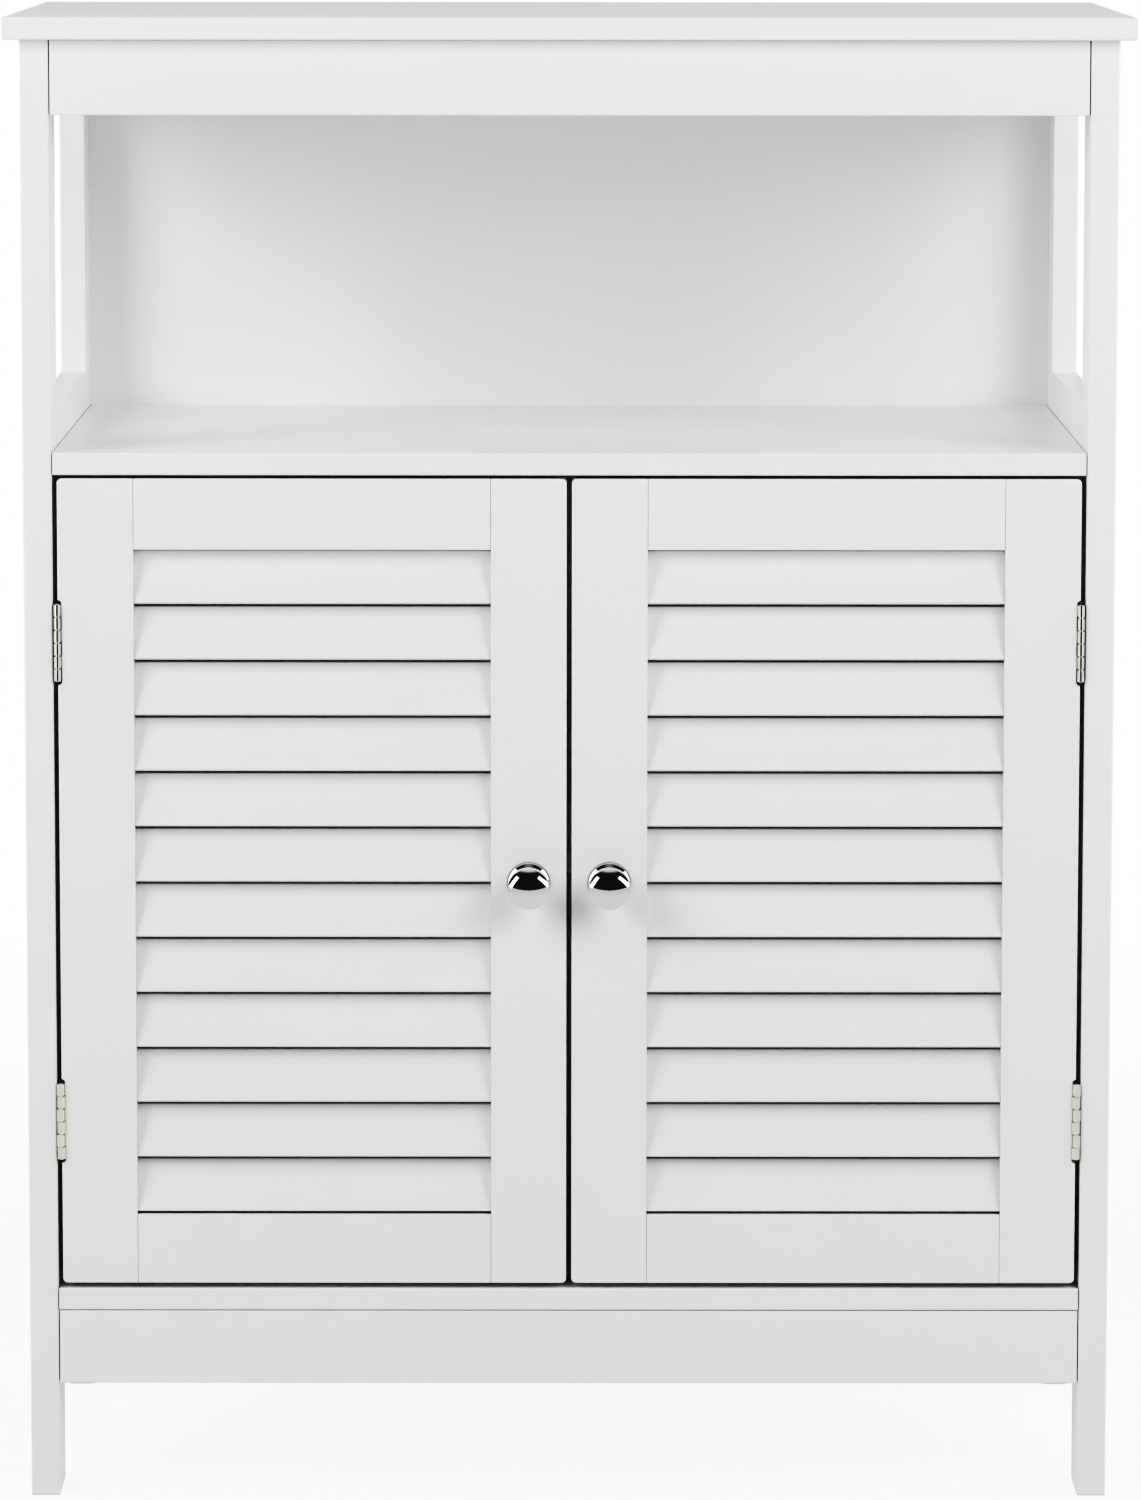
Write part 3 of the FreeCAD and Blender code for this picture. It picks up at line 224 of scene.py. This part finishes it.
def metal(name, light, dark, rough, spread, scale, depth, brushed=None):
    """Metal whose tone and polish drift over the surface, with fine marks."""
    k = Finish(name)
    where = k.stretched(*brushed) if brushed else None
    marks = k.noise(scale, 4.0, 0.6, where=where)
    cloud = k.noise(60.0, 3.0, 0.5)
    k.colour(k.mix(k.ramp(cloud, 0.3, 0.7, 0.0, 1.0), dark, light))
    k.roughness(k.ramp(marks, 0.3, 0.75, rough - spread, rough + spread))
    k.bump(marks, depth)
    k.set(Metallic=1.0)
    return k.mat


def beech(name):
    """Turned beech: pale pinkish brown with short dark flecks along the grain."""
    k = Finish(name)
    grain = k.noise(900.0, 5.0, 0.6, 0.6, where=k.stretched(0.15, 1.0, 1.0))
    fleck = k.noise(2600.0, 2.0, 0.4, where=k.stretched(0.12, 1.0, 1.0))
    body = k.mix(k.ramp(grain, 0.3, 0.7, 0.0, 1.0), (0.56, 0.37, 0.22), (0.66, 0.47, 0.30))
    # painted shade: the dowel's colour darkens where it sits in a narrow slot
    k.colour(k.painted_slot_shade(k.mix(k.ramp(fleck, 0.62, 0.74, 0.0, 1.0), body, (0.36, 0.21, 0.11)), 0.005))
    k.roughness(k.ramp(grain, 0.3, 0.7, 0.55, 0.72))
    k.bump(grain, 0.00004)
    return k.mat


def moulded(name, tint, rough, depth):
    """Moulded plastic or pressed ferrite with a fine spark-eroded texture."""
    k = Finish(name)
    grit = k.noise(1800.0, 3.0, 0.6)
    k.colour(k.mix(k.noise(90.0, 2.0, 0.5), shade(tint, 0.94), tint))
    k.roughness(k.ramp(grit, 0.3, 0.7, rough - 0.07, rough + 0.09))
    k.bump(grit, depth)
    return k.mat


finishes = {
    "carcass": paint("white_paint_carcass", (0.889, 0.891, 0.892)),
    # painted light: the rear legs wear a brighter copy of the carcass white, standing in for light the lamps bring
    # them too little of
    "rear_leg": paint("white_paint_rear_leg_painted_light", (0.955, 0.950, 0.940)),
    "sill": paint("white_paint_sill", (0.889, 0.891, 0.892), groove_shade_reach=0.0012),
    "door": paint("white_paint_door", (0.880, 0.880, 0.877), groove_shade_reach=0.0012),
    "louvre": paint("white_paint_louvre", (0.867, 0.867, 0.865), 0.0022),
    "white_hardboard": hardboard("white_hardboard"),
    "chrome": metal("chrome", (0.80, 0.81, 0.83), (0.77, 0.78, 0.80), 0.035, 0.02, 700.0, 0.0000004),
    "nickel": metal("nickel", (0.94, 0.92, 0.84), (0.89, 0.86, 0.77), 0.08, 0.03, 1500.0, 0.000002, (1.0, 1.0, 0.15)),
    "zinc_steel": metal("zinc_steel", (0.66, 0.68, 0.70), (0.55, 0.56, 0.56), 0.30, 0.08, 1600.0, 0.000005),
    "cam_zinc": metal("cam_zinc", (0.52, 0.53, 0.54), (0.42, 0.43, 0.43), 0.46, 0.08, 1100.0, 0.00002),
    "beech": beech("beech"),
    "white_plastic": moulded("white_plastic", (0.80, 0.80, 0.79), 0.38, 0.000012),
    "magnet": moulded("magnet", (0.045, 0.043, 0.042), 0.55, 0.00002),
}

for name, o in nodes.items():
    slot = o.material_slots[0].material.name
    if slot == "white_paint":
        slot = "carcass" if o["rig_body"] == "cabinet" else "door"
        slot = "louvre" if name.endswith("louvres") else "rear_leg" if name.startswith("rear_leg") else slot
        slot = "sill" if name == "bottom_board" else slot
    for s in o.material_slots:
        s.material = finishes[slot]


# ---------------------------------------------------------------- floor
def floor():
    """A pale, slightly translucent table top that thins out to nothing well away from the object."""
    mesh = bpy.data.meshes.new("floor")
    r = 6.0
    mesh.from_pydata([(-r, -r, 0), (r, -r, 0), (r, r, 0), (-r, r, 0)], [], [(0, 1, 2, 3)])
    o = bpy.data.objects.new("floor", mesh)
    scene.collection.objects.link(o)
    k = Finish("floor")
    k.colour(k.mix(k.noise(3.0, 3.0, 0.5), (0.90, 0.90, 0.90), (0.92, 0.92, 0.92)))
    k.roughness(k.ramp(k.noise(40.0, 3.0, 0.6), 0.3, 0.7, 0.55, 0.65))
    k.set(Emission_Color=(1.0, 1.0, 1.0, 1.0), Emission_Strength=0.08)
    away = k.add("ShaderNodeVectorMath", operation="LENGTH")
    k.tree.links.new(k.where, away.inputs[0])
    clear = k.add("ShaderNodeBsdfTransparent")
    both = k.add("ShaderNodeMixShader")
    k.tree.links.new(k.ramp(away.outputs["Value"], 0.3, 1.8, 0.75, 1.0), both.inputs["Fac"])
    k.tree.links.new(k.bsdf.outputs["BSDF"], both.inputs[1])
    k.tree.links.new(clear.outputs["BSDF"], both.inputs[2])
    k.tree.links.new(both.outputs["Shader"], k.out.inputs["Surface"])
    mesh.materials.append(k.mat)
    o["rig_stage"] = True
    return o


floor()


# ---------------------------------------------------------------- light
def softbox(name, at, aim, wide, high, power, lean=0.0):
    """A rectangular soft light turned towards aim, leaning sideways by lean degrees."""
    data = bpy.data.lights.new(name, "AREA")
    data.shape = "RECTANGLE"
    data.size, data.size_y = wide, high
    data.energy = power
    o = bpy.data.objects.new(name, data)
    o.location = at
    o.rotation_mode = "QUATERNION"
    turn = (Vector(aim) - Vector(at)).to_track_quat("-Z", "Y")
    o.rotation_quaternion = turn @ Quaternion((0.0, 0.0, 1.0), math.radians(lean))
    o.visible_camera = False
    scene.collection.objects.link(o)
    return o


def round_about(azimuth, away, height):
    """A place round the object's front, azimuth in degrees from straight ahead, to the right."""
    a = math.radians(azimuth)
    return (away * math.sin(a), -0.13 - away * math.cos(a), height)


aim = (0.0, -0.13, 0.60)
for side, azimuth, height, wide, high, power, lean, lights, shows in (
    ("right_low", 40.0, 0.95, 0.9, 1.1, 2.4, -14.0, True, False),
    ("right_high", 40.0, 1.50, 0.9, 1.0, 9.3, -14.0, True, False),
    ("right_wide", 55.0, 1.40, 0.9, 1.1, 7.2, -14.0, True, False),
    ("right_side", 90.0, 0.95, 1.0, 0.6, 8.5, 0.0, True, False),
    ("right_strip", 42.0, 0.76, 0.30, 1.25, 2.6, 43.0, False, True),
    ("left_low", -40.0, 0.95, 0.9, 1.1, 2.2, 14.0, True, False),
    ("left_wide", -55.0, 1.40, 0.9, 1.2, 16.8, 14.0, True, False),
    ("left_side", -90.0, 0.95, 1.0, 0.6, 6.0, 0.0, True, False),
    ("left_strip", -42.0, 0.71, 0.30, 1.15, 2.6, -31.0, False, True),
):
    box = softbox("softbox_%s" % side, round_about(azimuth, 1.9, height), aim, wide, high, power, lean)
    box.visible_diffuse = lights
    box.visible_glossy = shows


def room():
    """A white backdrop wrapped behind the object, a pale ceiling and ground, and a dark room behind the camera."""
    world = bpy.data.worlds.new("room")
    scene.world = world
    world.use_nodes = True
    t = world.node_tree
    t.nodes.clear()

    def add(kind, **props):
        n = t.nodes.new(kind)
        for key, v in props.items():
            setattr(n, key, v)
        return n

    out = add("ShaderNodeOutputWorld")
    back = add("ShaderNodeBackground")
    rays = add("ShaderNodeLightPath")
    way = add("ShaderNodeSeparateXYZ")
    t.links.new(add("ShaderNodeTexCoord").outputs["Generated"], way.inputs["Vector"])

    def ramp(v, lo, hi, a, b):
        n = add("ShaderNodeMapRange", interpolation_type="SMOOTHSTEP")
        for key, x in (("From Min", lo), ("From Max", hi), ("To Min", a), ("To Max", b)):
            n.inputs[key].default_value = x
        t.links.new(v, n.inputs["Value"])
        return n.outputs["Result"]

    def mix(fac, a, b):
        n = add("ShaderNodeMix", data_type="FLOAT")
        t.links.new(fac, n.inputs["Factor"])
        for socket, v in zip((n.inputs["A"], n.inputs["B"]), (a, b)):
            if isinstance(v, float):
                socket.default_value = v
            else:
                t.links.new(v, socket)
        return n.outputs["Result"]

    def math_node(how, a, b=0.0):
        n = add("ShaderNodeMath", operation=how)
        for socket, v in zip(n.inputs, (a, b)):
            if isinstance(v, float):
                socket.default_value = v
            else:
                t.links.new(v, socket)
        return n.outputs["Value"]

    # how far behind the object a direction points: -1 ahead, 0 to the side, 1 straight behind
    level_z = way.outputs["Z"]
    flat = math_node("SQRT", math_node("MAXIMUM", math_node("SUBTRACT", 1.0, math_node("MULTIPLY", level_z, level_z)), 0.0001))
    behind = math_node("DIVIDE", way.outputs["Y"], flat)
    round_it = math_node("MULTIPLY", ramp(behind, -0.15, 0.50, 0.0, 1.0), ramp(behind, 0.80, 1.0, 1.0, 0.58))
    up_it = math_node("SUBTRACT", ramp(level_z, 0.20, 0.42, 0.62, 1.10), ramp(level_z, 0.60, 0.88, 0.0, 0.92))
    level = math_node("ADD", math_node("MULTIPLY", round_it, up_it), 0.012)
    ceiling = mix(rays.outputs["Is Glossy Ray"], 0.16, 0.55)
    level = mix(ramp(level_z, 0.60, 0.73, 0.0, 1.0), level, math_node("MAXIMUM", level, ceiling))
    # the pale ground reaches farther out to the sides than under the camera
    aside = math_node("SUBTRACT", 1.0, math_node("MULTIPLY", behind, behind))
    edge = math_node("SUBTRACT", math_node("MULTIPLY", aside, 0.20), 0.175)
    level = mix(ramp(math_node("SUBTRACT", level_z, edge), -0.010, 0.010, 1.0, 0.0), level, 0.46)
    level = mix(rays.outputs["Is Camera Ray"], level, 1.0)
    t.links.new(level, back.inputs["Color"])
    t.links.new(back.outputs["Background"], out.inputs["Surface"])


room()
view = scene.view_settings
view.view_transform = "Standard"
view.look = "None"
view.exposure = 0.0
view.gamma = 1.0
# the contrast of a studio photograph: a soft shoulder, 2x / (1 + x), over a firm toe
view.use_curve_mapping = True
tone = view.curve_mapping.curves[3].points
for x, y in ((0.03, 0.015), (0.06, 0.042), (0.12, 0.125), (0.22, 0.30)):
    tone.new(x, y)
for x in (0.35, 0.50, 0.68, 0.85):
    tone.new(x, 2.0 * x / (1.0 + x))
view.curve_mapping.update()


# ---------------------------------------------------------------- camera
def camera(at, pitch, roll, yaw, focal_px, shift):
    """A view fitted to the object's corners; focal_px is for the 1141 x 1500 frame, whose long side is the sensor's 36 mm."""
    data = bpy.data.cameras.new("camera")
    data.sensor_fit = "AUTO"
    data.sensor_width = 36.0
    data.lens = focal_px * 36.0 / 1500.0
    data.shift_y = shift
    data.clip_start, data.clip_end = 0.05, 100.0
    o = bpy.data.objects.new("camera", data)
    o.matrix_world = Matrix.Translation(at) @ (
        Matrix.Rotation(yaw, 4, "Z") @ Matrix.Rotation(math.pi / 2 - pitch, 4, "X") @ Matrix.Rotation(roll, 4, "Z")
    )
    scene.collection.objects.link(o)
    scene.camera = o


camera((-0.003463, -3.5848, 0.90082), 0.1186, 0.0009, -0.0012, 6504.42, -0.1)


# ---------------------------------------------------------------- close
low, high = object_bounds()
